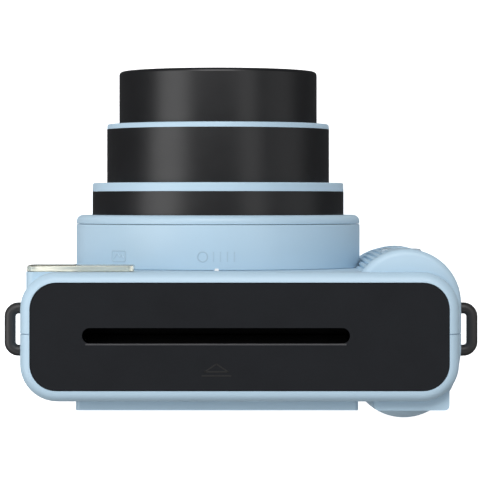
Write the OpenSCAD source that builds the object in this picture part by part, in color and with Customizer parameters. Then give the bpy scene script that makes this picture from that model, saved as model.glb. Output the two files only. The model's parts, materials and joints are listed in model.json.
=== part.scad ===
// Instant camera with a three-stage telescoping lens, in millimetres.
// Z is up, the lens looks along -Y, and the origin is the centre of the bottom face.

/* [Body] */
// Width of the main case
case_w = 129.6; // [129:0.1:131]
// Depth of the main case, front face to back face
case_d = 38.2; // [38.2:0.1:39]
// Height of the main case
case_h = 118.6; // [118.6:0.1:120]
// Plan radius of the case corners
case_corner_r = 11; // [9:0.5:12]
// Radius of the top and bottom edges
case_edge_r = 3.1; // [2:0.1:3.5]
// Wall thickness of the covers
wall = 2; // [1.8:0.1:2.2]

/* [Grip column] */
// Plan radius of the grip column
grip_r = 16.2; // [15.8:0.1:16.4]
// Height of the top of the grip column
grip_top = 114; // [113:0.5:115]
// Number of grooves in the hand grip
grip_grooves = 19; // [10:1:19]

/* [Lens] */
// Height of the lens axis
lens_z = 53; // [53:0.5:54]
// Outer radius of the mode ring
ring_r = 45; // [44.5:0.1:45]
// Length of the inner barrel
inner_length = 20.65; // [19:0.05:20.65]

/* [Film exit] */
// Length of the slot that the print comes out of
slot_w = 78.9; // [76:0.1:79]
// Width of the slot across the case
slot_d = 4.6; // [4.4:0.1:4.8]
// Radius of the two film rollers
roller_r = 4.2; // [4:0.05:4.2]

/* [Hidden] */
$fn = 96;

BLUE = "lightsteelblue";
BLACK = "dimgray";
STEEL = "silver";
GLASS = "lightcyan";
eps = 0.01;

case_x = 0.4;
front_y = -case_d / 2;
back_y = case_d / 2;
split_y = -1;
seam_w = 0.25;
seam_depth = 0.45;
lens_x = 7.3;

// Top panel and the slot in it
panel_w = 123.5;
panel_d = 31.8;
panel_y = -0.1;
panel_z = 117;
panel_t = 1.3;
slot_x = 7.35;
slot_y = -0.4;
cavity_top = 115.8;

// Grip column: two plan circles joined by straight sides
grip_x = -49.1;
grip_front_y = -9.7;
grip_rear_y = 9;
// Each level is [height, inset, front circle y, rear circle y]
GRIP_LEVELS = [
  [1.5, 1.4, -8.2, grip_rear_y], [2.3, 0.5, -8.3, grip_rear_y], [4, 0, -8.4, grip_rear_y],
  [48, 0, grip_front_y, grip_rear_y], [98, 0, grip_front_y, grip_rear_y],
  [106, 0, grip_front_y, grip_rear_y - 2.2], [grip_top - 2, 0, grip_front_y, 3.5],
  [grip_top - 1.2, 0.17, grip_front_y, 3.3], [grip_top - 0.6, 0.58, grip_front_y, 3.1],
  [grip_top - 0.2, 1.13, grip_front_y, 2.9], [grip_top, 2, grip_front_y, 2.9]];

// Lens stages, radii outwards and places along Y with the lens fully out
ring_front = -32.85;
ring_back = -19.15;
bezel_front = -35.75;
bezel_back = -33;
tube_r_in = 40.95;
tube_r_out = 42.2;
outer_r = 39.9;
middle_r = 35.3;
inner_r = 31.4;
barrel_t = 1.45;
outer_front = -45.85;
middle_front = -64.45;
inner_front = -81.15;

// Film chamber and rollers
chamber_x = 7;
chamber_w = 79.8;
chassis_front = -3.9;
chassis_back = 15.2;
roller_z = 107;
drive_y = 4;
pinch_y = -4.6;
gear_x0 = -39.5;
gear_t = 2.5;
gear_module = 0.8;
idler_z = roller_z - gear_module * (16 + 22) / 2;
pinion_z = idler_z - gear_module * (22 + 10) / 2;
sync_x = 49.3;
sync_t = 1.5;

// Side bays
battery_x = -52.3;
battery_y = 8;
battery_r = 7.8;
button_z = 84;
lug_z = 88;
lug_r = 1.72;
lug_half = 6.45;
lug_bar_x = 70.5;
SCREWS = [[57, 12], [57, 95], [-40.8, 12], [-50, 95.2]];

// Film door
door_x = 7.1;
door_w = 83.8;
door_z0 = 9;
door_z1 = 112.2;
door_back = 22;
hinge_y = 17.6;
hinge_z = 6.5;
KNUCKLES = [-17, 31];

// Window plate at the front top corner
window_x = 47.7;
window_w = 31.6;
window_z0 = 97.2;
window_z1 = 113.4;

// Flash, viewfinder and counter
flash_x = 41;
finder_x = 56.1;
finder_z = 104;
dial_x = 55;
dial_z = 30;

// ---- helpers ----

// Corner points of a rounded rectangle, anticlockwise, n steps to a corner
function rounded_points(w, d, r, n = 10) = [
  for (c = [0:3]) for (i = [0:n])
    let (a = 90 * c + 90 * i / n,
         sx = (c == 0 || c == 3) ? 1 : -1,
         sy = (c < 2) ? 1 : -1)
    [sx * (w / 2 - r) + r * cos(a), sy * (d / 2 - r) + r * sin(a)]];

// Plan outline of the grip column: a stadium with its long axis along Y
function stadium_points(r, y0, y1, n = 32) = concat(
  [for (i = [0:n]) [grip_x + r * cos(180 * i / n), y1 + r * sin(180 * i / n)]],
  [for (i = [0:n]) [grip_x - r * cos(180 * i / n), y0 - r * sin(180 * i / n)]]);

// Round-over levels as [height, inset], bottom then top
function edge_levels(h, r, n = 5) = concat(
  [for (i = [n:-1:0]) [r * (1 - sin(90 * i / n)), r * (1 - cos(90 * i / n))]],
  [for (i = [0:n]) [h - r * (1 - sin(90 * i / n)), r * (1 - cos(90 * i / n))]]);

module rounded_plate(w, d, r, h) {
  linear_extrude(h) polygon(rounded_points(w, d, r));
}

// Rounded plate standing in the XZ plane, from y0 to y1
module upright_plate(x, z, w, h, r, y0, y1) {
  translate([x, y1, z]) rotate([90, 0, 0]) rounded_plate(w, h, r, y1 - y0);
}

module block(low, high) {
  translate(low) cube(high - low);
}

// Cylinder along Y from y0 to y1
module y_rod(x, z, r, y0, y1) {
  translate([x, y1, z]) rotate([90, 0, 0]) cylinder(r = r, h = y1 - y0);
}

// Cylinder along X from x0 to x1
module x_rod(y, z, r, x0, x1) {
  translate([x0, y, z]) rotate([0, 90, 0]) cylinder(r = r, h = x1 - x0);
}

// Solid turned about the lens axis from points [radius, y]
module lens_turning(points) {
  translate([lens_x, 0, lens_z]) rotate([-90, 0, 0]) rotate_extrude() polygon(points);
}

module lens_sleeve(r_in, r_out, y0, y1) {
  lens_turning([[r_in, y0], [r_out, y0], [r_out, y1], [r_in, y1]]);
}

// Quarter-round points for the front outer edge of a sleeve, centre to rim
function front_round(r_out, y0, f, n = 8) = [
  for (i = [0:n]) [r_out - f + f * sin(90 * i / n), y0 + f - f * cos(90 * i / n)]];

// Barrel with a guide flange at its back end
module barrel(r_out, y0, y1, flange_r, f) {
  lens_turning(concat([[r_out - barrel_t, y0]], front_round(r_out, y0, f),
    [[r_out, y1 - 2], [flange_r, y1 - 2], [flange_r, y1], [r_out - barrel_t, y1]]));
}

// Involute helpers, pressure angle 25 degrees
PRESSURE = 25;
function roll(a) = tan(a) - a * PI / 180;
function half_tooth(teeth, pitch_r, r) =
  let (base_r = pitch_r * cos(PRESSURE), a = acos(min(1, base_r / max(r, base_r))))
  90 / teeth - 0.7 / pitch_r + (roll(PRESSURE) - roll(a)) * 180 / PI;
function tooth_points(teeth, pitch_r, low, high, turn, n = 5) = concat(
  [for (i = [0:n]) let (r = low + (high - low) * i / n, a = turn - half_tooth(teeth, pitch_r, r))
    [r * cos(a), r * sin(a)]],
  [for (i = [n:-1:0]) let (r = low + (high - low) * i / n, a = turn + half_tooth(teeth, pitch_r, r))
    [r * cos(a), r * sin(a)]]);

// Spur gear about an axis along X, with one tooth centred on the angle turn (0 is +Y, 90 is +Z)
module x_gear(y, z, x0, t, teeth, pitch_r, turn) {
  tooth_m = 2 * pitch_r / teeth;
  points = [for (k = [0:teeth - 1])
    each tooth_points(teeth, pitch_r, pitch_r - 1.1 * tooth_m, pitch_r + 0.8 * tooth_m,
      turn + 360 * k / teeth)];
  translate([x0, y, z]) rotate([90, 0, 90]) linear_extrude(t) polygon(points);
}

// Solid through a stack of outlines, each [height, points], all with the same number of points
module loft(rings) {
  n = len(rings[0][1]);
  top = len(rings) - 1;
  polyhedron(
    points = [for (ring = rings) for (p = ring[1]) [p[0], p[1], ring[0]]],
    faces = concat(
      [[for (i = [0:n - 1]) i]],
      [for (k = [0:top - 1]) for (i = [0:n - 1])
        let (j = (i + 1) % n)
        each [[k * n + i, (k + 1) * n + i, k * n + j], [k * n + j, (k + 1) * n + i, (k + 1) * n + j]]],
      [[for (i = [n - 1:-1:0]) top * n + i]]));
}

// Main case outside
module case_solid(inset = 0) {
  translate([case_x, 0, inset])
    loft([for (level = edge_levels(case_h - 2 * inset, case_edge_r))
      let (in = inset + level[1])
      [level[0], rounded_points(case_w - 2 * in, case_d - 2 * in, case_corner_r - in)]]);
}

// Fine groove in the skin where the rear cover meets the front cover and the hand grip
module seam_groove() {
  difference() {
    block([-80, split_y - 1, -1], [80, split_y + seam_w, 130]);
    case_solid(seam_depth);
    grip_solid(seam_depth);
  }
}

module case_cavity() {
  translate([case_x, 0, wall])
    rounded_plate(case_w - 2 * wall, case_d - 2 * wall, case_corner_r - wall, cavity_top - wall);
}

// Grip column, with inset taken off its wall and its top
module grip_solid(inset) {
  loft([for (level = GRIP_LEVELS)
    [level[0] < 60 ? level[0] + inset : level[0] - inset,
     stadium_points(grip_r - inset - level[1], level[2], level[3])]]);
}

module panel_pocket() {
  translate([case_x, panel_y, panel_z]) rounded_plate(panel_w + 0.2, panel_d + 0.2, 7.9, 5);
  block([case_x - panel_w / 2 + 1.5, slot_y - 4, cavity_top - 1],
    [case_x + panel_w / 2 - 1.5, slot_y + 4, 118]);
}

module lug_holes() {
  for (side = [-1, 1])
    for (y = [split_y - lug_half, split_y + lug_half])
      x_rod(y, lug_z, lug_r + 0.08, side > 0 ? 60 : -70, side > 0 ? 70 : -60);
}

// ---- covers ----

module front_boss_holes() {
  for (s = SCREWS) y_rod(s[0], s[1], 1, -12, 0);
}

module front_cover() {
  color(BLUE) difference() {
    union() {
      difference() {
        union() {
          intersection() {
            case_solid();
            block([-80, -40, -1], [80, split_y, 130]);
          }
          // Squared pad behind the window plate
          upright_plate(window_x, (window_z0 + window_z1) / 2, window_w + 0.5,
            window_z1 - window_z0 - 0.2, 2.4, front_y, -8);
        }
        case_cavity();
      }
      for (s = SCREWS) y_rod(s[0], s[1], 2.6, front_y + wall - 0.2, split_y);
    }
    panel_pocket();
    front_boss_holes();
    lug_holes();
    y_rod(lens_x, lens_z, 43.3, -30, -16.9);
    upright_plate(47, 105.2, 28, 13, 1.5, -30, -12);
  }
}

module door_opening() {
  block([door_x - door_w / 2 - 0.5, 13, 4.4], [door_x + door_w / 2 + 0.5, 30, door_z1 + 0.3]);
}

module rear_bosses() {
  for (s = SCREWS) y_rod(s[0], s[1], 2.6, split_y, 17.3);
}

module rear_boss_holes() {
  for (s = SCREWS) {
    y_rod(s[0], s[1], 1.1, -5, 14);
    y_rod(s[0], s[1], 2.1, 13.4, 30);
  }
}

module battery_opening() {
  block([-70, 0.8, 5.8], [-55, 16.2, 66.2]);
}

module rear_cover() {
  color(BLUE) difference() {
    union() {
      difference() {
        union() {
          intersection() {
            union() {
              case_solid();
              grip_solid(0);
            }
            block([-80, split_y, -1], [80, 40, 130]);
          }
          // Thumb rest above the swell of the grip
          translate([-50.65, 16.8, 96]) rounded_plate(22.3, 10.4, 1.4, 17);
        }
        case_cavity();
        intersection() {
          grip_solid(wall);
          block([-80, -20, 0], [-40, 14.5, cavity_top]);
        }
      }
      rear_bosses();
      for (x = KNUCKLES) {
        x_rod(hinge_y, hinge_z, 1.8, x - 3, x + 3);
        block([x - 3, hinge_y - 1.8, 3], [x + 3, hinge_y + 1.5, hinge_z]);
      }
    }
    difference() {
      door_opening();
      for (x = KNUCKLES) block([x - 3, 10, 0], [x + 3, hinge_y + 1.8, hinge_z + 1.8]);
    }
    for (x = KNUCKLES) x_rod(hinge_y, hinge_z, 0.8, x - 4, x + 4);
    seam_groove();
    panel_pocket();
    rear_boss_holes();
    lug_holes();
    battery_opening();
    upright_plate(finder_x, finder_z, 7.6, 9, 1, 12, 30);
    upright_plate(dial_x, dial_z + 3.4, 4.4, 4, 0.6, 15, 30);
  }
}

// Groove cutters round the front of the grip column; those under the button stop below it
module grip_groove_cutters() {
  for (k = [0:grip_grooves - 1])
    translate([grip_x, grip_front_y, 6])
      rotate(-22 - 6 * k)
        translate([grip_r, 0, 0])
          linear_extrude(k < 9 ? 102 : 66) polygon([[-0.6, 0], [0.3, -0.62], [0.3, 0.62]]);
}

module hand_grip() {
  color(BLUE) difference() {
    intersection() {
      grip_solid(0);
      block([-80, -40, -1], [80, split_y, 130]);
    }
    case_solid();
    grip_solid(wall);
    grip_groove_cutters();
    y_rod(lens_x, lens_z, ring_r + 0.4, -40, front_y);
    y_rod(grip_x, button_z, 6.4, -40, front_y);
    lug_holes();
  }
}

// ---- top panel with the film exit ----

module top_panel() {
  color(BLACK) difference() {
    translate([case_x, panel_y, panel_z]) rounded_plate(panel_w, panel_d, 7.8, panel_t);
    translate([slot_x, slot_y, 110]) rounded_plate(slot_w, slot_d, slot_d / 2 - eps, 20);
    // Bright bevel along the back edge of the slot
    translate([slot_x - slot_w / 2 + 1.5, slot_y + slot_d / 2 - 0.3, panel_z + panel_t - 0.4])
      rotate([45, 0, 0]) cube([slot_w - 3, 0.9, 0.9]);
  }
}

// ---- window plate and what is behind it ----

module window_plate() {
  color(GLASS) upright_plate(window_x, (window_z0 + window_z1) / 2, window_w,
    window_z1 - window_z0, 2.5, front_y - 1.9, front_y);
}

module window_mask() {
  color(BLACK) difference() {
    upright_plate(47, 105.2, 27.8, 12.8, 1.4, front_y + 0.1, front_y + 0.9);
    upright_plate(flash_x, 105, 13.6, 10, 1, -30, 0);
    upright_plate(finder_x, finder_z, 5, 6.4, 0.6, -30, 0);
    for (x = [50.6, 56.1]) y_rod(x, 109.8, 1.2, -30, 0);
  }
}

module flash_reflector() {
  color(STEEL) difference() {
    block([33.8, -18.1, 99.2], [48.2, -10.1, 110.8]);
    // Trough that opens towards the front
    translate([34.8, 0, 0]) rotate([90, 0, 90]) linear_extrude(12.4)
      polygon([[-18.2, 99.8], [-18.2, 110.2], [-13, 108.4], [-11, 106.2], [-11, 103.8], [-13, 101.6]]);
    x_rod(-13, 105, 1.45, 33, 49);
  }
}

module flash_tube() {
  color(GLASS) x_rod(-13, 105, 1.4, 33, 49);
}

module viewfinder_tube() {
  color(BLACK) difference() {
    block([finder_x - 3.5, front_y + 1, finder_z - 4.2], [finder_x + 3.5, 16.8, finder_z + 4.2]);
    block([finder_x - 2.5, -30, finder_z - 3.2], [finder_x + 2.5, 30, finder_z + 3.2]);
  }
}

module viewfinder_lenses() {
  color(GLASS) {
    block([finder_x - 2.49, -17, finder_z - 3.19], [finder_x + 2.49, -15, finder_z + 3.19]);
    block([finder_x - 2.49, 13.6, finder_z - 3.19], [finder_x + 2.49, 16, finder_z + 3.19]);
  }
}

module light_sensors() {
  color(BLACK) for (x = [50.6, 56.1]) y_rod(x, 109.8, 1.15, -18.9, -15);
}

// ---- strap lugs ----

module strap_lug(side, base_x) {
  y0 = split_y - lug_half;
  y1 = split_y + lug_half;
  bend = 2.6;
  elbow_x = lug_bar_x - bend;
  mirror([side < 0 ? 1 : 0, 0, 0]) {
    x_rod(y0, lug_z, lug_r, base_x + 1.4, elbow_x);
    x_rod(y1, lug_z, lug_r, base_x + 1.4, elbow_x);
    translate([elbow_x, y0 + bend, lug_z]) rotate([0, 0, -90])
      rotate_extrude(angle = 90) translate([bend, 0]) circle(r = lug_r);
    translate([elbow_x, y1 - bend, lug_z])
      rotate_extrude(angle = 90) translate([bend, 0]) circle(r = lug_r);
    y_rod(lug_bar_x, lug_z, lug_r, y0 + bend, y1 - bend);
    block([base_x, y0 - 1.9, lug_z - 3], [base_x + 1.5, y1 + 1.9, lug_z + 3]);
  }
}

module strap_lug_left() {
  color(BLACK) strap_lug(1, 61.5);
}

module strap_lug_right() {
  color(BLACK) strap_lug(-1, 60.7);
}

// ---- fixed lens parts and the mode ring ----

module lens_bezel() {
  color(BLUE) lens_turning(concat([[40.15, bezel_front + 0.3], [40.45, bezel_front]],
    front_round(ring_r - 0.05, bezel_front, 2), [[ring_r - 0.05, bezel_back], [40.15, bezel_back]]));
}

module lens_base_tube() {
  color(BLACK) lens_turning([[tube_r_in, bezel_back], [tube_r_out, bezel_back],
    [tube_r_out, front_y + wall], [46, front_y + wall], [46, -15.4], [tube_r_in, -15.4]]);
}

module mode_ring() {
  color(BLUE) lens_turning([[42.5, ring_front], [ring_r - 0.4, ring_front],
    [ring_r, ring_front + 0.4], [ring_r, ring_back - 0.3], [ring_r - 0.3, ring_back],
    [42.5, ring_back]]);
}

// ---- telescoping barrels ----

module barrel_outer() {
  color(BLACK) barrel(outer_r, outer_front + 2.7, -22, 40.7, 0.05);
}

module trim_outer() {
  color(BLUE) lens_turning(concat([[35.55, outer_front]],
    front_round(outer_r - 0.1, outer_front, 0.5), [[outer_r, outer_front + 2.7], [35.55, outer_front + 2.7]]));
}

module barrel_middle() {
  color(BLACK) barrel(middle_r, middle_front + 1.6, -41, 38.2, 0.05);
}

module trim_middle() {
  color(BLUE) lens_turning(concat([[31.65, middle_front]],
    front_round(middle_r - 0.1, middle_front, 0.5), [[middle_r, middle_front + 1.6], [31.65, middle_front + 1.6]]));
}

module barrel_inner() {
  color(BLACK) barrel(inner_r, inner_front, inner_front + inner_length, 33.6, 1.2);
}

module lens_front_plate() {
  color(BLACK) difference() {
    lens_turning([[11, -74.6], [19.5, -80.4], [29.85, -80.4], [29.85, -78.6], [20.4, -78.6],
      [13.6, -73], [11, -73]]);
    y_rod(lens_x - 17.5, lens_z + 17.5, 4.25, -90, -79.6);
  }
}

module selfie_mirror() {
  color(STEEL) y_rod(lens_x - 17.5, lens_z + 17.5, 4.2, -80.6, -79.6);
}

// Sag of a spherical face at radius r
function sag(face_r, r) = face_r - sqrt(face_r * face_r - r * r);
function face_points(face_r, r, y, way, n = 8) = [
  for (i = [0:n]) [r * i / n, y + way * sag(face_r, r * i / n)]];
function reversed(list) = [for (i = [len(list) - 1:-1:0]) list[i]];

module front_lens() {
  color(GLASS) lens_turning(concat(face_points(22, 10.9, -77, 1), reversed(face_points(60, 10.9, -72.6, 1))));
}

module rear_lens() {
  color(GLASS) lens_turning(concat(face_points(50, 9.9, -67.4, 1), reversed(face_points(28, 9.9, -63, -1))));
}

module lens_cell() {
  color(BLACK) lens_turning([[10.95, -73], [13.4, -73], [13.4, -62], [10, -62], [10, -70.5], [10.95, -70.5]]);
}

module shutter_housing() {
  color(BLACK) difference() {
    lens_sleeve(8, 27, -62, -57);
    lens_sleeve(7, 24, -60.9, -58.1);
    for (side = [-1, 1]) y_rod(lens_x + side * 17, lens_z, 1.25, -61.6, -57.4);
  }
}

module shutter_motor() {
  color(STEEL) {
    y_rod(lens_x, lens_z - 21, 4.5, -72, -62);
    y_rod(lens_x, lens_z - 21, 1.5, -73.2, -72);
  }
}

// Blade that turns on a pin at one side of the aperture and covers it at rest
module shutter_blade(side, y) {
  difference() {
    union() {
      upright_plate(lens_x + side * 6.6, lens_z, 20.8, 17.4, 3.5, y, y + 0.5);
      y_rod(lens_x + side * 17, lens_z, 1.2, -61.5, -57.5);
      y_rod(lens_x + side * 17, lens_z, 3, y, y + 0.5);
    }
    block([lens_x - 30, -70, lens_z - 30], [lens_x - 22, -50, lens_z + 30]);
  }
}

module shutter_blade_a() {
  color(STEEL) shutter_blade(1, -60.6);
}

module shutter_blade_b() {
  color(STEEL) shutter_blade(-1, -59.2);
}

// ---- chassis, rollers and gear train ----

module camera_chassis() {
  x0 = chamber_x - chamber_w / 2;
  x1 = chamber_x + chamber_w / 2;
  color(BLACK) difference() {
    union() {
      block([x0 - 2.1, chassis_front, 2.2], [x1 + 2.1, chassis_back, 102.5]);
      block([-36, -15.3, 9.7], [50.6, chassis_front, 96.3]);
      block([x1 + 2, 9.6, dial_z - 2.6], [dial_x + 4, 11.6, dial_z + 2.6]);
    }
    // Film chamber, open at the back and at the top
    block([x0, chassis_front + 2, 4.9], [x1, 20, 110]);
    // Light box behind the barrels
    block([-34.2, -13.8, 11.5], [48.8, chassis_front - eps, 94.5]);
    y_rod(lens_x, lens_z, 41.2, -20, -13);
    // Picture gate
    block([lens_x - 31.5, -5, lens_z - 31.5], [lens_x + 31.5, 0, lens_z + 31.5]);
    // Slot for the film pick
    block([x0 - 3, 10.7, 7.7], [x0 + 1, 12.9, 20.6]);
    y_rod(dial_x, dial_z, 0.85, 5, 15);
  }
}

module roller_frame() {
  color(STEEL) difference() {
    union() {
      block([-35, -9.9, 102.6], [-33.4, 9.9, 114.4]);
      block([47.4, -9.9, 102.6], [49, 9.9, 114.4]);
      block([-33.5, -9.9, 102.6], [47.5, -8.95, 114.4]);
    }
    x_rod(drive_y, roller_z, 1.55, -40, 60);
    x_rod(pinch_y, roller_z, 1.55, -40, 60);
  }
}

module drive_roller() {
  color(STEEL) {
    x_rod(drive_y, roller_z, roller_r, -31.5, 45.5);
    x_rod(drive_y, roller_z, 1.5, -41, 50.9);
    x_gear(drive_y, roller_z, gear_x0, gear_t, 16, 6.4, -90);
    x_gear(drive_y, roller_z, sync_x, sync_t, 12, 4.3, 180);
  }
}

module pinch_roller() {
  color(STEEL) {
    x_rod(pinch_y, roller_z, roller_r, -31.5, 45.5);
    x_rod(pinch_y, roller_z, 1.5, -34.9, 50.9);
    x_gear(pinch_y, roller_z, sync_x, sync_t, 12, 4.3, 15);
  }
}

module idler_gear() {
  color("white") difference() {
    x_gear(drive_y, idler_z, gear_x0, gear_t, 22, 8.8, 90 + 180 / 22);
    x_rod(drive_y, idler_z, 1.25, -50, 0);
  }
}

module idler_axle() {
  color(STEEL) x_rod(drive_y, idler_z, 1.2, -40.3, -35);
}

module motor_pinion() {
  color("white") difference() {
    x_gear(drive_y, pinion_z, gear_x0, gear_t, 10, 4, 90);
    x_rod(drive_y, pinion_z, 1, -50, 0);
  }
}

module eject_motor() {
  color(STEEL) {
    x_rod(drive_y, pinion_z, 6, -59, -40.6);
    x_rod(drive_y, pinion_z, 0.95, -40.7, -36.9);
  }
}

// Claw that pushes one sheet up into the rollers
module film_pick() {
  color(STEEL) {
    block([-36.6, 10.9, 8], [-35.3, 12.7, 60]);
    block([-36.6, 10.9, 8], [-31.7, 12.7, 9.6]);
  }
}

module main_board() {
  color("green") {
    block([51, -14, 10], [52.6, 9, 94]);
    block([52.6, -10, 82], [54, 2, 92]);
    block([52.6, -8, 18], [53.8, 4, 28]);
    block([52.6, 1.5, 44], [55.4, 8, 56]);
  }
}

module flash_capacitor() {
  color(BLACK) translate([58.2, -6, 40]) cylinder(r = 4.6, h = 36);
}

// ---- batteries ----

module battery_holder() {
  color(BLACK) difference() {
    block([-55, -0.6, 5], [-44, 16.4, 66]);
    translate([battery_x, battery_y, 6.2]) cylinder(r = battery_r + 0.2, h = 58.6);
    block([-70, -2, 6.2], [battery_x, 20, 64.8]);
  }
}

module batteries() {
  color("gold") for (z = [7.6, 35.2])
    translate([battery_x, battery_y, z]) {
      cylinder(r = battery_r, h = 25.6);
      translate([0, 0, 25.6]) cylinder(r = 3, h = 1.4);
    }
}

module battery_contacts() {
  color(STEEL) translate([battery_x, battery_y, 0]) {
    translate([0, 0, 6.2]) cylinder(r = 5, h = 0.5);
    translate([0, 0, 6.7]) cylinder(r1 = 4, r2 = 2, h = 0.9);
    translate([0, 0, 62.2]) cylinder(r = 4.4, h = 2.6);
  }
}

// Part of the grip wall that lifts off over the batteries
module battery_cover() {
  color(BLUE) intersection() {
    difference() {
      translate([0, 0, 6.1]) linear_extrude(59.8)
        polygon(stadium_points(grip_r, grip_front_y, grip_rear_y));
      linear_extrude(80)
        polygon(stadium_points(grip_r - wall, grip_front_y, grip_rear_y));
    }
    block([-70, 1.1, 0], [-55, 15.9, 80]);
  }
}

// ---- shutter release ----

module shutter_button() {
  color(STEEL) difference() {
    translate([grip_x, 0, button_z]) rotate([-90, 0, 0]) rotate_extrude()
      polygon(concat([[0, -25.1], [4.6, -25.4]], [for (i = [0:6])
        [5.4 + 0.8 * sin(15 * i), -24.7 - 0.8 * cos(15 * i)]],
        [[6.2, -21.7], [7.2, -21.7], [7.2, -20.9], [0, -20.9]]));
    y_rod(grip_x, button_z, 4.6, -23.4, -20);
  }
}

module button_spring() {
  color(STEEL) for (k = [0:3])
    translate([grip_x, front_y - 0.35 - 0.7 * k, button_z]) rotate([90, 0, 0])
      rotate_extrude() translate([3.6, 0]) circle(r = 0.345);
}

module shutter_switch() {
  color(BLACK) {
    y_rod(grip_x, button_z, 2.6, -20.4, front_y);
    y_rod(grip_x, button_z, 1.2, -21.9, -20.4);
  }
}

// ---- film door ----

module door_knuckle_gaps() {
  for (x = KNUCKLES) block([x - 3.3, 10, 0], [x + 3.3, 30, hinge_z + 2.6]);
}

module film_door() {
  x0 = door_x - door_w / 2;
  x1 = door_x + door_w / 2;
  color(BLUE) difference() {
    union() {
      block([x0, back_y - 2.5, hinge_z], [x1, back_y, door_z1]);
      upright_plate(door_x, (door_z0 + door_z1) / 2, door_w, door_z1 - door_z0, 1.4, back_y - 1, door_back);
      x_rod(hinge_y, hinge_z, 1.85, x0, x1);
    }
    door_knuckle_gaps();
    for (x = KNUCKLES) x_rod(hinge_y, hinge_z, 0.85, x - 7.2, x + 7.2);
    // Recess and slot for the latch
    upright_plate(-26, 95, 8, 22, 1, back_y, 30);
    block([-28.2, 10, 95.6], [-23.8, 30, 104.4]);
    // Film window
    upright_plate(33, 78, 6, 16, 1.2, 10, 30);
  }
}

module film_window() {
  color(GLASS) upright_plate(33, 78, 5.98, 15.98, 1.19, back_y - 2, door_back - 0.4);
}

module pressure_springs() {
  color(STEEL) for (x = [-12, 22])
    translate([x, 0, 0]) rotate([90, 0, 90]) linear_extrude(6)
      polygon([[16.6, 30], [16.6, 33], [12.9, 52], [12.9, 58], [16.6, 77], [16.6, 80],
        [16.2, 80], [16.2, 77], [12.5, 58.2], [12.5, 51.8], [16.2, 33], [16.2, 30]]);
}

module door_seal() {
  color(BLACK) difference() {
    block([door_x - 41.2, 15.4, 9.4], [door_x + 41.2, back_y - 2.5, 101.5]);
    block([door_x - 39, 10, 11.6], [door_x + 39, 20, 99.3]);
    block([-29, 10, 90], [-23, 20, 120]);
  }
}

module hinge_pins() {
  color(STEEL) for (x = KNUCKLES) x_rod(hinge_y, hinge_z, 0.8, x - 7, x + 7);
}

module door_latch() {
  color(BLACK) {
    difference() {
      upright_plate(-26, 97.7, 7.4, 15.4, 0.8, back_y + 0.1, door_back - 0.2);
      for (k = [0:4]) block([-28.6, door_back - 0.6, 92.6 + 2.3 * k], [-23.4, 30, 93.7 + 2.3 * k]);
    }
    block([-28, 15, 100], [-24, back_y + 0.1, 104]);
    block([-28, 15, 100], [-24, 16.4, 111.5]);
  }
}

// ---- frame counter ----

module counter_dial() {
  color("white") {
    y_rod(dial_x, dial_z, 4.2, 13.9, 14.9);
    y_rod(dial_x, dial_z, 0.8, 8, 13.9);
  }
}

module counter_window() {
  color(GLASS) upright_plate(dial_x, dial_z + 3.4, 4.38, 3.98, 0.59, back_y - wall, back_y - 0.5);
}

// ---- fasteners ----

module case_screws() {
  color(STEEL) for (s = SCREWS) {
    y_rod(s[0], s[1], 1, -10, 13.4);
    difference() {
      y_rod(s[0], s[1], 1.9, 13.4, 15);
      block([s[0] - 1.1, 14.3, s[1] - 0.25], [s[0] + 1.1, 16, s[1] + 0.25]);
      block([s[0] - 0.25, 14.3, s[1] - 1.1], [s[0] + 0.25, 16, s[1] + 1.1]);
    }
  }
}

front_cover();
rear_cover();
hand_grip();
top_panel();
window_plate();
window_mask();
strap_lug_left();
strap_lug_right();
lens_bezel();
lens_base_tube();
mode_ring();
barrel_outer();
trim_outer();
barrel_middle();
trim_middle();
barrel_inner();
lens_front_plate();
selfie_mirror();
front_lens();
rear_lens();
lens_cell();
shutter_housing();
shutter_motor();
shutter_blade_a();
shutter_blade_b();
camera_chassis();
roller_frame();
drive_roller();
pinch_roller();
idler_gear();
idler_axle();
motor_pinion();
eject_motor();
film_pick();
main_board();
flash_capacitor();
flash_reflector();
flash_tube();
viewfinder_tube();
viewfinder_lenses();
light_sensors();
battery_holder();
batteries();
battery_contacts();
battery_cover();
shutter_button();
button_spring();
shutter_switch();
film_door();
film_window();
pressure_springs();
door_seal();
hinge_pins();
door_latch();
counter_dial();
counter_window();
case_screws();
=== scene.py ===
"""Looks of the instant camera: materials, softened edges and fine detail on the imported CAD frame."""
import json
import math

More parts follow.
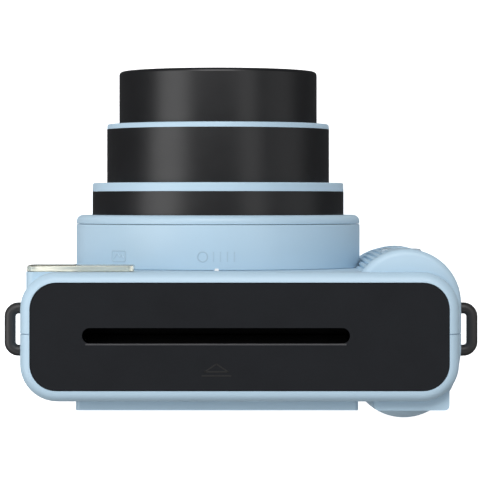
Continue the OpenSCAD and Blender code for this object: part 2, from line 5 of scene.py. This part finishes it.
import bmesh
import bpy
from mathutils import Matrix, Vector

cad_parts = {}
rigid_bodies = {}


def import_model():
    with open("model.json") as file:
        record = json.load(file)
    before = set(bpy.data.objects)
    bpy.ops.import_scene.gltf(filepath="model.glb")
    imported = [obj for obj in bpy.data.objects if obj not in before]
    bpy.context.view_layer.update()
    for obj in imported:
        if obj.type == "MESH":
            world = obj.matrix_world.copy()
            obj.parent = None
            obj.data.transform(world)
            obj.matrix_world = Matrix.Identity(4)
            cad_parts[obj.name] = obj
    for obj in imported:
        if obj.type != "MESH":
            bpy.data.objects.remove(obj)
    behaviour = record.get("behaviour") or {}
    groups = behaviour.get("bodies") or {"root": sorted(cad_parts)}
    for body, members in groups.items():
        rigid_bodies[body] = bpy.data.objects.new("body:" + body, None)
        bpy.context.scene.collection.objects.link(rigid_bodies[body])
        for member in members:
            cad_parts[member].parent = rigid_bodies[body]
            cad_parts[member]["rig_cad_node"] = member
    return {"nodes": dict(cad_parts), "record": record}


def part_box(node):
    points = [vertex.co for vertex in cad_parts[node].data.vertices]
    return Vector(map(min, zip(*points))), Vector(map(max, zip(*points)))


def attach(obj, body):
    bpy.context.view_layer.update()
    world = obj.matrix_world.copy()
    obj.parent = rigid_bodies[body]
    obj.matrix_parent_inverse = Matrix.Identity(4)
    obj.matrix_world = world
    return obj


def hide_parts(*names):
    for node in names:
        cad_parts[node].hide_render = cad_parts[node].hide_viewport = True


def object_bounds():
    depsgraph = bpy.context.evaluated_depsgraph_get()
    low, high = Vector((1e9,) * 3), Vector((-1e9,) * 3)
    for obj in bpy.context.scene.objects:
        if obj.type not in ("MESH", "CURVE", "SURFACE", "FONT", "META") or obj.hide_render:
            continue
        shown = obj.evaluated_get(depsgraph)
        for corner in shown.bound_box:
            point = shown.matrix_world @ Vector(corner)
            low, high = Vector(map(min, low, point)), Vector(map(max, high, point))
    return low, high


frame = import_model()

MM = 0.001
CAD_BOX = [list(corner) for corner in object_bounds()]
BODY_OF = {n: b for b, names in frame["record"]["behaviour"]["bodies"].items() for n in names}
SLOT_OF = {s["node"]: s["material_slot"] for s in frame["record"]["subparts"]}

# ---------------------------------------------------------------- frame measures

RING_LOW, RING_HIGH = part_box("mode_ring")
AXIS_X = (RING_LOW.x + RING_HIGH.x) / 2
AXIS_Z = (RING_LOW.z + RING_HIGH.z) / 2
PANEL_LOW, PANEL_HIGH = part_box("top_panel")
FLOOR_Z = CAD_BOX[0][2]

# Radii inside the nodes, which their boxes don't give
STAGE_R = {"barrel_outer": 39.9 * MM, "barrel_middle": 35.3 * MM, "barrel_inner": 31.4 * MM}
STAGE_WALL = 1.45 * MM
FLANGE_LENGTH = 2 * MM
BORE_R = {"trim_outer": 35.55 * MM, "trim_middle": 31.65 * MM, "lens_bezel": 40.15 * MM,
          "mode_ring": 42.5 * MM}

# Faces that meet at less than these angles shade as one, by kind of piece
TURNED_SHARP_DEG = 32
BEVEL_DEG = 34
STROKE_SHARP_DEG = 50
FLAT_DEG = 0.4
BEVEL_STEPS = 3
WELD_DIST = 2e-6


def radius_of(node):
    low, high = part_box(node)
    return (high.x - low.x) / 2


# ---------------------------------------------------------------- materials


def new_material(name, color, rough, metallic=0.0):
    """Principled material; returns it with its node tree and shader."""
    mat = bpy.data.materials.new(name)
    mat.use_nodes = True
    tree = mat.node_tree
    shader = shader_of(mat)
    shader.inputs["Base Color"].default_value = (*color, 1)
    shader.inputs["Roughness"].default_value = rough
    shader.inputs["Metallic"].default_value = metallic
    return mat, tree, shader


def shader_of(mat):
    return mat.node_tree.nodes["Principled BSDF"]


def add_noise(tree, scale, detail=3.0):
    coord = tree.nodes.new("ShaderNodeTexCoord")
    noise = tree.nodes.new("ShaderNodeTexNoise")
    noise.inputs["Scale"].default_value = scale
    noise.inputs["Detail"].default_value = detail
    tree.links.new(coord.outputs["Object"], noise.inputs["Vector"])
    return noise


def mottle(tree, shader, color, spread, scale):
    """Slow change of colour over the surface, within spread of the base colour."""
    noise = add_noise(tree, scale)
    ramp = tree.nodes.new("ShaderNodeValToRGB")
    ramp.color_ramp.elements[0].position = 0.3
    ramp.color_ramp.elements[1].position = 0.7
    ramp.color_ramp.elements[0].color = (*[c * (1 - spread) for c in color], 1)
    ramp.color_ramp.elements[1].color = (*[min(1, c * (1 + spread)) for c in color], 1)
    tree.links.new(noise.outputs["Fac"], ramp.inputs["Fac"])
    tree.links.new(ramp.outputs["Color"], shader.inputs["Base Color"])


def vary_rough(tree, shader, low, high, scale):
    """Slow change of roughness over the surface, between low and high."""
    noise = add_noise(tree, scale)
    spread = tree.nodes.new("ShaderNodeMapRange")
    spread.inputs["To Min"].default_value = low
    spread.inputs["To Max"].default_value = high
    tree.links.new(noise.outputs["Fac"], spread.inputs["Value"])
    tree.links.new(spread.outputs["Result"], shader.inputs["Roughness"])


def grain(tree, shader, scale, depth, strength):
    """Fine moulded texture as a bump."""
    noise = add_noise(tree, scale, 2.0)
    bump = tree.nodes.new("ShaderNodeBump")
    bump.inputs["Strength"].default_value = strength
    bump.inputs["Distance"].default_value = depth
    tree.links.new(noise.outputs["Fac"], bump.inputs["Height"])
    tree.links.new(bump.outputs["Normal"], shader.inputs["Normal"])


def moulded(name, color, rough, spread=0.02, texture=1800.0, depth=0.00004, strength=0.25, coat=0.0):
    """Plastic, paint or rubber: colour varies by spread, and the grain is depth metres deep."""
    mat, tree, shader = new_material(name, color, rough)
    mottle(tree, shader, color, spread, 60.0)
    vary_rough(tree, shader, rough - 0.04, rough + 0.04, 140.0)
    grain(tree, shader, texture, depth, strength)
    shader.inputs["Coat Weight"].default_value = coat
    shader.inputs["Coat Roughness"].default_value = 0.2
    return mat


def brushed(name, color, rough, stretch=(1.0, 60.0, 1.0)):
    """Metal with fine lines drawn along one axis."""
    mat, tree, shader = new_material(name, color, rough, 1.0)
    coord = tree.nodes.new("ShaderNodeTexCoord")
    mapping = tree.nodes.new("ShaderNodeMapping")
    mapping.inputs["Scale"].default_value = stretch
    noise = tree.nodes.new("ShaderNodeTexNoise")
    noise.inputs["Scale"].default_value = 300.0
    spread = tree.nodes.new("ShaderNodeMapRange")
    spread.inputs["To Min"].default_value = rough - 0.08
    spread.inputs["To Max"].default_value = rough + 0.1
    tree.links.new(coord.outputs["Object"], mapping.inputs["Vector"])
    tree.links.new(mapping.outputs["Vector"], noise.inputs["Vector"])
    tree.links.new(noise.outputs["Fac"], spread.inputs["Value"])
    tree.links.new(spread.outputs["Result"], shader.inputs["Roughness"])
    mottle(tree, shader, color, 0.04, 90.0)
    return mat


def clear(name, color, rough, ior, passes=1.0):
    """Glass or clear plastic; passes is the share of light that goes through."""
    mat, tree, shader = new_material(name, color, rough)
    shader.inputs["Transmission Weight"].default_value = passes
    shader.inputs["IOR"].default_value = ior
    mottle(tree, shader, color, 0.015, 45.0)
    vary_rough(tree, shader, rough, rough + 0.03, 80.0)
    return mat


BLUE = (0.475, 0.640, 0.770)
MATERIALS = {
    "case_blue": moulded("case_blue", BLUE, 0.42, 0.012, 2600.0, 0.00002, 0.18),
    "panel_black": moulded("panel_black", (0.0110, 0.0122, 0.0150), 0.62, 0.10, 2200.0, 0.00006, 0.5),
    "barrel_black": moulded("barrel_black", (0.0100, 0.0100, 0.0112), 0.36, 0.06, 3000.0, 0.00002, 0.2),
    "inner_black": moulded("inner_black", (0.014, 0.014, 0.015), 0.55, 0.08),
    "lug_black": moulded("lug_black", (0.028, 0.0265, 0.027), 0.46, 0.06, 1400.0, 0.00003, 0.2),
    "window_clear": clear("window_clear", (0.95, 0.935, 0.80), 0.10, 1.49, 0.72),
    "lens_glass": clear("lens_glass", (0.93, 0.96, 0.99), 0.0, 1.52),
    "mirror_face": brushed("mirror_face", (0.88, 0.89, 0.90), 0.12, (1, 1, 1)),
    "steel": brushed("steel", (0.56, 0.56, 0.57), 0.30),
    "button_metal": moulded("button_metal", (0.56, 0.66, 0.74), 0.24, 0.03, 2600.0, 0.00001, 0.1, 0.6),
    "gear_white": moulded("gear_white", (0.78, 0.78, 0.74), 0.45),
    "board_green": moulded("board_green", (0.015, 0.11, 0.045), 0.35, 0.1),
    "cell_sleeve": moulded("cell_sleeve", (0.62, 0.47, 0.11), 0.25, 0.03),
    "foam": moulded("foam", (0.012, 0.012, 0.012), 0.9, 0.2, 900.0, 0.0002, 0.8),
}
LENS_COAT = MATERIALS["lens_glass"].copy()
LENS_COAT.name = "lens_coated"
shader_of(LENS_COAT).inputs["Thin Film Thickness"].default_value = 420.0
INDEX_PAINT = moulded("index_paint", (0.78, 0.80, 0.82), 0.5, 0.02)
# Painted shade: the raised ring marks take a copy of the case blue made a tenth darker.
PAINTED_SHADE_BLUE = moulded("relief_blue_painted_shade", tuple(c * 0.9 for c in BLUE), 0.42, 0.012, 2600.0, 0.00002, 0.18)
# Dark rubber for the rollers and their frame, made darker still and with little shine: partly their own
# colour, partly painted shade inside the film slot.
RUBBER_AND_PAINTED_SHADE = moulded("roller_rubber_and_slot_shade", (0.0035, 0.0035, 0.0038), 0.8, 0.1)
shader_of(RUBBER_AND_PAINTED_SHADE).inputs["Specular IOR Level"].default_value = 0.1
shader_of(MATERIALS["panel_black"]).inputs["Specular IOR Level"].default_value = 0.15
DEEP_BLACK = moulded("slot_black", (0.004, 0.004, 0.0045), 0.7, 0.1)
# Painted highlight: a lighter black for the thin lip along the back edge of the film slot.
SLOT_EDGE_HIGHLIGHT = moulded("slot_edge_highlight", (0.055, 0.055, 0.06), 0.35, 0.05)


# ---------------------------------------------------------------- making pieces


def make_piece(name, mesh, node, material=None, replaces=False):
    """Object that rides with a CAD node's body and takes that node's material slot."""
    piece = bpy.data.objects.new(name, mesh)
    bpy.context.scene.collection.objects.link(piece)
    mesh.materials.clear()
    mesh.materials.append(material or MATERIALS[SLOT_OF[node]])
    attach(piece, BODY_OF[node])
    if replaces:
        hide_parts(node)
    return piece


def smooth_mesh(mesh, sharp_deg):
    """Smooth shading with edges kept sharp where faces meet at more than sharp_deg."""
    bm = bmesh.new()
    bm.from_mesh(mesh)
    for face in bm.faces:
        face.smooth = True
    limit = math.radians(sharp_deg)
    for edge in bm.edges:
        edge.smooth = len(edge.link_faces) == 2 and edge.calc_face_angle(0) < limit
    bm.to_mesh(mesh)
    bm.free()


def refine(node, width):
    """Copy of a CAD node with its edges rounded by width, which stands for the node."""
    bm = bmesh.new()
    bm.from_mesh(frame["nodes"][node].data)
    bmesh.ops.remove_doubles(bm, verts=bm.verts, dist=WELD_DIST)
    bmesh.ops.dissolve_limit(bm, angle_limit=math.radians(FLAT_DEG), verts=bm.verts, edges=bm.edges)
    mesh = bpy.data.meshes.new(node + "_fine")
    bm.to_mesh(mesh)
    bm.free()
    smooth_mesh(mesh, BEVEL_DEG)
    piece = make_piece(node + "_fine", mesh, node, replaces=True)
    bevel = piece.modifiers.new("edges", "BEVEL")
    bevel.width = width
    bevel.segments = BEVEL_STEPS
    bevel.limit_method = "ANGLE"
    bevel.angle_limit = math.radians(BEVEL_DEG)
    bevel.use_clamp_overlap = True
    bevel.miter_outer = "MITER_ARC"
    bevel.harden_normals = True


def arc(center_r, center_y, radius, start, end, steps):
    """Arc of (radius, y) points; 0 degrees points outwards and 90 degrees points back along +Y."""
    angles = [math.radians(start + (end - start) * i / steps) for i in range(steps + 1)]
    return [(center_r + radius * math.cos(a), center_y + radius * math.sin(a)) for a in angles]


def turned_mesh(name, profile, count=160, center=(AXIS_X, AXIS_Z)):
    """Closed (radius, y) outline turned about an axis along Y."""
    bm = bmesh.new()
    rings = []
    for k in range(count):
        a = 2 * math.pi * k / count
        rings.append([bm.verts.new((center[0] + r * math.cos(a), y, center[1] + r * math.sin(a)))
                      for r, y in profile])
    for k in range(count):
        here, there = rings[k], rings[(k + 1) % count]
        for i in range(len(profile)):
            j = (i + 1) % len(profile)
            bm.faces.new((here[i], here[j], there[j], there[i]))
    bmesh.ops.remove_doubles(bm, verts=bm.verts, dist=1e-7)
    bmesh.ops.recalc_face_normals(bm, faces=bm.faces)
    mesh = bpy.data.meshes.new(name)
    bm.to_mesh(mesh)
    bm.free()
    smooth_mesh(mesh, TURNED_SHARP_DEG)
    return mesh


def turned(name, profile, node, replaces=True):
    """Turned piece about the lens axis."""
    make_piece(name, turned_mesh(name, profile), node, replaces=replaces)


def stroke_mesh(name, strokes, width, place, height, step=0.35 * MM):
    """Flat strokes of one width laid on a surface: place(u, v, h) gives the point in space."""
    # Cross section with softened top corners, in half widths and heights, its foot below the surface
    section = [(-1, -0.3), (-1, 0.55), (-0.6, 1), (0.6, 1), (1, 0.55), (1, -0.3)]
    bm = bmesh.new()
    for (u0, v0), (u1, v1) in strokes:
        length = math.hypot(u1 - u0, v1 - v0)
        along = ((u1 - u0) / length, (v1 - v0) / length)
        across = (-along[1] * width / 2, along[0] * width / 2)
        u0, v0 = u0 - along[0] * width / 2, v0 - along[1] * width / 2
        length += width
        count = max(1, math.ceil(length / step))
        sections = []
        for i in range(count + 1):
            u, v = u0 + along[0] * length * i / count, v0 + along[1] * length * i / count
            sections.append([bm.verts.new(place(u + across[0] * s, v + across[1] * s, h * height))
                             for s, h in section])
        for a, b in zip(sections, sections[1:]):
            for i in range(len(section)):
                j = (i + 1) % len(section)
                bm.faces.new((a[i], a[j], b[j], b[i]))
        bm.faces.new(sections[0])
        bm.faces.new(reversed(sections[-1]))
    bmesh.ops.recalc_face_normals(bm, faces=bm.faces)
    mesh = bpy.data.meshes.new(name)
    bm.to_mesh(mesh)
    bm.free()
    smooth_mesh(mesh, STROKE_SHARP_DEG)
    return mesh


def closed_path(points):
    """Strokes from each point to the next and back to the first."""
    return list(zip(points, points[1:] + points[:1]))


# ---------------------------------------------------------------- camera, floor and light

IMAGE = 484  # side of the square image
FOCAL = 2700  # focal length in the same unit as IMAGE
SENSOR = 36.0
CAMERA_PLACE = (-0.31 * MM, -39.5 * MM, 912.6 * MM)
CAMERA_SHIFT_Y = -0.0806

FLOOR_HALF = 3.0
# The floor carries a painted pool of light: it glows round the object out to GLOW_END_R, and its colour
# goes from a pale near tone to a grey far tone.
GLOW_CENTER = (0, -26 * MM, FLOOR_Z)
GLOW_FULL_R = 125 * MM
GLOW_END_R = 330 * MM
GLOW_STRENGTH = 0.75
PAINTED_POOL_TONE = 0.80
FAR_TONE = 0.42

WORLD_STRENGTH = 0.06
LIGHT_TARGET = (0, -0.03, 0.06)
# name, place, width and height in metres, power in watts
LIGHTS = (
    ("key_left", (0.92, -0.04, 0.78), 1.3, 0.80, 8.2),
    ("fill_right", (-0.62, -0.05, 0.98), 1.2, 0.40, 1.9),
    ("front_high", (0.05, -0.86, 1.1), 1.0, 0.7, 11.5),
    ("rear_fill", (0.0, 0.95, 0.95), 1.2, 0.5, 2.4),
    ("right_low", (-1.25, 0.05, 0.36), 1.5, 0.9, 2.2),
)


def add_camera():
    """Camera that looks straight down, with the lens of the object towards the top of the image."""
    data = bpy.data.cameras.new("camera")
    data.sensor_width = SENSOR
    data.lens = FOCAL / IMAGE * SENSOR
    data.shift_y = CAMERA_SHIFT_Y
    data.clip_start = 0.01
    camera = bpy.data.objects.new("camera", data)
    camera.location = CAMERA_PLACE
    camera.rotation_euler = (0, 0, math.pi)
    bpy.context.scene.collection.objects.link(camera)
    bpy.context.scene.camera = camera


def add_floor():
    """Pale floor with a painted pool of light round the object: it glows white there and is greyer further
    out.
    """
    mesh = bpy.data.meshes.new("floor")
    corners = [(x * FLOOR_HALF, y * FLOOR_HALF, FLOOR_Z) for x, y in ((-1, -1), (1, -1), (1, 1), (-1, 1))]
    mesh.from_pydata(corners, [], [(0, 1, 2, 3)])
    floor = bpy.data.objects.new("floor", mesh)
    bpy.context.scene.collection.objects.link(floor)
    mat, tree, shader = new_material("floor", (0.9, 0.9, 0.9), 0.9)
    coord = tree.nodes.new("ShaderNodeTexCoord")
    distance = tree.nodes.new("ShaderNodeVectorMath")
    distance.operation = "DISTANCE"
    distance.inputs[1].default_value = GLOW_CENTER
    near = tree.nodes.new("ShaderNodeMapRange")
    near.inputs["From Min"].default_value = GLOW_FULL_R
    near.inputs["From Max"].default_value = GLOW_END_R
    near.inputs["To Min"].default_value = 1.0
    near.inputs["To Max"].default_value = 0.0
    tone = tree.nodes.new("ShaderNodeMix")
    tone.data_type = "RGBA"
    # A colour mix has its factor at input 0, its colours at inputs 6 and 7 and its result at output 2
    tone.inputs[6].default_value = (FAR_TONE, FAR_TONE, FAR_TONE, 1)
    tone.inputs[7].default_value = (PAINTED_POOL_TONE, PAINTED_POOL_TONE, PAINTED_POOL_TONE, 1)
    glow = tree.nodes.new("ShaderNodeMath")
    glow.operation = "MULTIPLY"
    glow.inputs[1].default_value = GLOW_STRENGTH
    tree.links.new(coord.outputs["Object"], distance.inputs[0])
    tree.links.new(distance.outputs["Value"], near.inputs["Value"])
    tree.links.new(near.outputs["Result"], tone.inputs[0])
    tree.links.new(tone.outputs[2], shader.inputs["Base Color"])
    tree.links.new(near.outputs["Result"], glow.inputs[0])
    tree.links.new(glow.outputs["Value"], shader.inputs["Emission Strength"])
    shader.inputs["Emission Color"].default_value = (1, 1, 1, 1)
    mesh.materials.append(mat)
    floor.visible_glossy = False


def add_area(name, location, size_x, size_y, power):
    """Area light that faces the object."""
    data = bpy.data.lights.new(name, "AREA")
    data.shape = "RECTANGLE"
    data.size = size_x
    data.size_y = size_y
    data.energy = power
    light = bpy.data.objects.new(name, data)
    light.location = location
    light.rotation_euler = (Vector(LIGHT_TARGET) - Vector(location)).to_track_quat("-Z", "Y").to_euler()
    bpy.context.scene.collection.objects.link(light)


def add_lights():
    world = bpy.data.worlds.new("studio")
    world.use_nodes = True
    background = world.node_tree.nodes["Background"]
    background.inputs["Color"].default_value = (0.95, 0.98, 1.0, 1)
    background.inputs["Strength"].default_value = WORLD_STRENGTH
    bpy.context.scene.world = world
    bpy.context.scene.view_settings.view_transform = "Standard"
    for light in LIGHTS:
        add_area(*light)


# ---------------------------------------------------------------- lens stages


def sleeve_profile(r_in, r_out, y0, y1, front, back):
    """Outline of a sleeve whose outer edges are rounded by front and back, and its front lip a little."""
    lip = 0.2 * MM
    return (arc(r_out - front, y0 + front, front, -90, 0, 8)
            + arc(r_out - back, y1 - back, back, 0, 90, 3)
            + [(r_in, y1)]
            + arc(r_in + lip, y0 + lip, lip, 180, 270, 4))


def build_barrel(node, front):
    """Black stage: a tube whose front edge is rounded by front, with a flange at its back end."""
    low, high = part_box(node)
    r_out, r_in, flange = STAGE_R[node], STAGE_R[node] - STAGE_WALL, radius_of(node)
    lip = 0.2 * MM
    profile = (arc(r_out - front, low.y + front, front, -90, 0, 8)
               + [(r_out, high.y - FLANGE_LENGTH), (flange, high.y - FLANGE_LENGTH), (flange, high.y),
                  (r_in, high.y)]
               + arc(r_in + lip, low.y + lip, lip, 180, 270, 4))
    turned(node + "_fine", profile, node)


def build_trim(node):
    """Blue band at the front of a stage, with a rounded front."""
    low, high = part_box(node)
    r_out, r_in = radius_of(node), BORE_R[node]
    edge, lip = 0.5 * MM, 0.3 * MM
    profile = (arc(r_out - 0.6 * MM, low.y + edge, edge, -90, 0, 6)
               + [(r_out, high.y), (r_in, high.y)]
               + arc(r_in + lip, low.y + lip, lip, 180, 270, 4))
    turned(node + "_fine", profile, node)


def build_sleeve(node, front, back):
    low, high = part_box(node)
    turned(node + "_fine", sleeve_profile(BORE_R[node], radius_of(node), low.y, high.y, front, back), node)


def build_lens():
    for node, front in (("barrel_outer", 0.06), ("barrel_middle", 0.06), ("barrel_inner", 1.2)):
        build_barrel(node, front * MM)
    for node in ("trim_outer", "trim_middle"):
        build_trim(node)
    build_sleeve("lens_bezel", 2 * MM, 0.15 * MM)
    build_sleeve("mode_ring", 0.35 * MM, 0.3 * MM)


def on_ring(turn_deg):
    """Places strokes on the mode ring's rim, centred turn_deg from straight up towards +X."""
    mark_y = RING_HIGH.y - 4.1 * MM
    radius = radius_of("mode_ring")

    def place(u, v, h):
        a = math.radians(turn_deg) - u / radius
        r = radius + h
        return (AXIS_X + r * math.sin(a), mark_y - v, AXIS_Z + r * math.cos(a))

    return place


def rounded_outline(w, h, r):
    """Points of a rectangle of half width w and half height h with corners of radius r."""
    steps = 4
    points = []
    for cx, cy, start in ((w, h, 0), (-w, h, 90), (-w, -h, 180), (w, -h, 270)):
        ox, oy = (abs(cx) - r) * (1 if cx > 0 else -1), (abs(cy) - r) * (1 if cy > 0 else -1)
        for i in range(steps + 1):
            a = math.radians(start + 90 * i / steps)
            points.append((ox + r * math.cos(a), oy + r * math.sin(a)))
    return points


def build_ring_marks():
    """Raised pictograms, one for each marked stop: a disc with bars, and a framed hill beside it."""
    stroke_w, relief = 0.36 * MM, 0.13 * MM
    framed = closed_path(rounded_outline(2.9 * MM, 1.6 * MM, 0.6 * MM))
    hills = [(u * MM, v * MM) for u, v in ((-2.0, -0.7), (-0.6, 0.7), (0.5, -0.4), (1.3, 0.3), (2.0, -0.6))]
    framed += zip(hills, hills[1:])
    disc_r, disc_u = 1.5 * MM, 4.3 * MM
    barred = closed_path([(disc_r * math.cos(math.radians(a)) - disc_u, disc_r * math.sin(math.radians(a)))
                          for a in range(0, 360, 20)])
    bar_half, bar_count = 1.35 * MM, 4
    for k in range(bar_count):
        u = (-1.0 + 2.1 * k) * MM
        barred.append(((u, -bar_half), (u, bar_half)))
    for name, strokes, turn in (("ring_mark_right", framed, 42), ("ring_mark_top", barred, 0)):
        mesh = stroke_mesh(name, strokes, stroke_w, on_ring(turn), relief)
        # The marks' darker blue is painted shade on their relief.
        make_piece(name, mesh, "mode_ring", PAINTED_SHADE_BLUE)


def build_ring_index():
    """Small wedge on the case just above the mode ring, which points at the stop in use."""
    top, tip = RING_HIGH.z + 3.0 * MM, RING_HIGH.z + 0.5 * MM
    nose_top, nose_tip = top - 0.3 * MM, tip + 0.7 * MM
    face, nose = -19.0 * MM, -19.75 * MM
    half = 0.75 * MM
    nose_half = half * 0.7
    mesh = bpy.data.meshes.new("ring_index")
    corners = [(-half, face, top), (half, face, top), (0, face, tip),
               (-nose_half, nose, nose_top), (nose_half, nose, nose_top), (0, nose, nose_tip)]
    mesh.from_pydata([(AXIS_X + x, y, z) for x, y, z in corners], [],
                     [(0, 2, 1), (3, 4, 5), (0, 1, 4, 3), (1, 2, 5, 4), (2, 0, 3, 5)])
    make_piece("ring_index", mesh, "front_cover", INDEX_PAINT)


def build_front_plate():
    """Black front plate with a cone of fine light-trap steps round the front element."""
    refine("lens_front_plate", 0.15 * MM)
    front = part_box("lens_front_plate")[0].y
    steps, thickness = 9, 0.5 * MM
    cone = []
    for k in range(steps):
        r = (19.2 - k * 0.9) * MM
        y = front + (k * 0.62 + 0.15) * MM
        cone += [(r, y), (r - 0.12 * MM, y + 0.58 * MM)]
    backing = [(r + thickness, y + thickness) for r, y in reversed(cone[::2])]
    turned("lens_light_trap", cone + backing, "lens_front_plate", replaces=False)


def build_mirror():
    """Domed selfie mirror in a thin raised frame."""
    low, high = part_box("selfie_mirror")
    center = ((low.x + high.x) / 2, (low.z + high.z) / 2)
    radius = radius_of("selfie_mirror")
    count, steps, dome_height = 64, 8, 0.25 * MM
    dome = [(radius * k / steps, low.y + dome_height * (k / steps) ** 2) for k in range(steps + 1)]
    mesh = turned_mesh("selfie_mirror_fine", dome + [(radius, high.y), (0, high.y)], count, center)
    make_piece("selfie_mirror_fine", mesh, "selfie_mirror", replaces=True)
    rim = arc(radius + 0.35 * MM, low.y + 0.15 * MM, 0.3 * MM, 0, 330, 11)
    make_piece("selfie_mirror_rim", turned_mesh("selfie_mirror_rim", rim, count, center), "selfie_mirror",
               MATERIALS["barrel_black"])


# ---------------------------------------------------------------- case details


def build_panel():
    """Top panel with a generic eject pictogram."""
    refine("top_panel", 0.22 * MM)
    middle = Vector(((PANEL_LOW.x + PANEL_HIGH.x) / 2 + 6.8 * MM, 9.9 * MM, PANEL_HIGH.z))

    def place(u, v, h):
        return (middle.x - u, middle.y - v, middle.z + h)

    bar = [((-4.2 * MM, -1.5 * MM), (4.2 * MM, -1.5 * MM))]
    arrow = closed_path([(-3.4 * MM, -0.3 * MM), (3.4 * MM, -0.3 * MM), (0, 2.0 * MM)])
    mesh = stroke_mesh("panel_eject_mark", bar + arrow, 0.42 * MM, place, 0.05 * MM)
    make_piece("panel_eject_mark", mesh, "top_panel", DEEP_BLACK)


def build_slot_edge():
    """Thin lip along the back edge of the film slot, a little lighter than the panel: a painted highlight
    where the slot's bevel catches the light.
    """
    slot_x, slot_back, half = 7.35 * MM, 1.9 * MM, 38.2 * MM

    def place(u, v, h):
        return (slot_x + u, slot_back + 0.28 * MM + v, PANEL_HIGH.z + h)

    mesh = stroke_mesh("slot_edge_lip", [((-half, 0), (half, 0))], 0.42 * MM, place, 0.07 * MM, 2 * MM)
    make_piece("slot_edge_lip", mesh, "top_panel", SLOT_EDGE_HIGHLIGHT)


def build_case():
    """Nodes of the case that only need their edges rounded, by a width in millimetres."""
    for node, width in (("front_cover", 0.18), ("rear_cover", 0.18), ("hand_grip", 0.12),
                        ("battery_cover", 0.15), ("film_door", 0.35), ("door_latch", 0.18),
                        ("window_plate", 0.45), ("shutter_button", 0.12), ("film_window", 0.12)):
        refine(node, width * MM)


def finish_plain_nodes():
    """Every CAD node that still shows takes its slot's material, and its doubled vertices are joined."""
    replaced = {o["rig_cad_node"] for o in frame["nodes"].values() if o.hide_render}
    for name, node in frame["nodes"].items():
        if name in replaced:
            continue
        node.data.materials.clear()
        node.data.materials.append(MATERIALS[SLOT_OF[name]])
        weld = node.modifiers.new("weld", "WELD")
        weld.merge_threshold = WELD_DIST
    frame["nodes"]["front_lens"].data.materials[0] = LENS_COAT
    # The rollers and their frame take the darkened rubber: partly their own colour, partly painted shade
    # inside the film slot.
    for name in ("drive_roller", "pinch_roller", "roller_frame"):
        frame["nodes"][name].data.materials[0] = RUBBER_AND_PAINTED_SHADE


add_camera()
add_floor()
add_lights()
build_lens()
build_ring_marks()
build_ring_index()
build_front_plate()
build_mirror()
build_panel()
build_slot_edge()
build_case()
finish_plain_nodes()

bpy.context.view_layer.update()
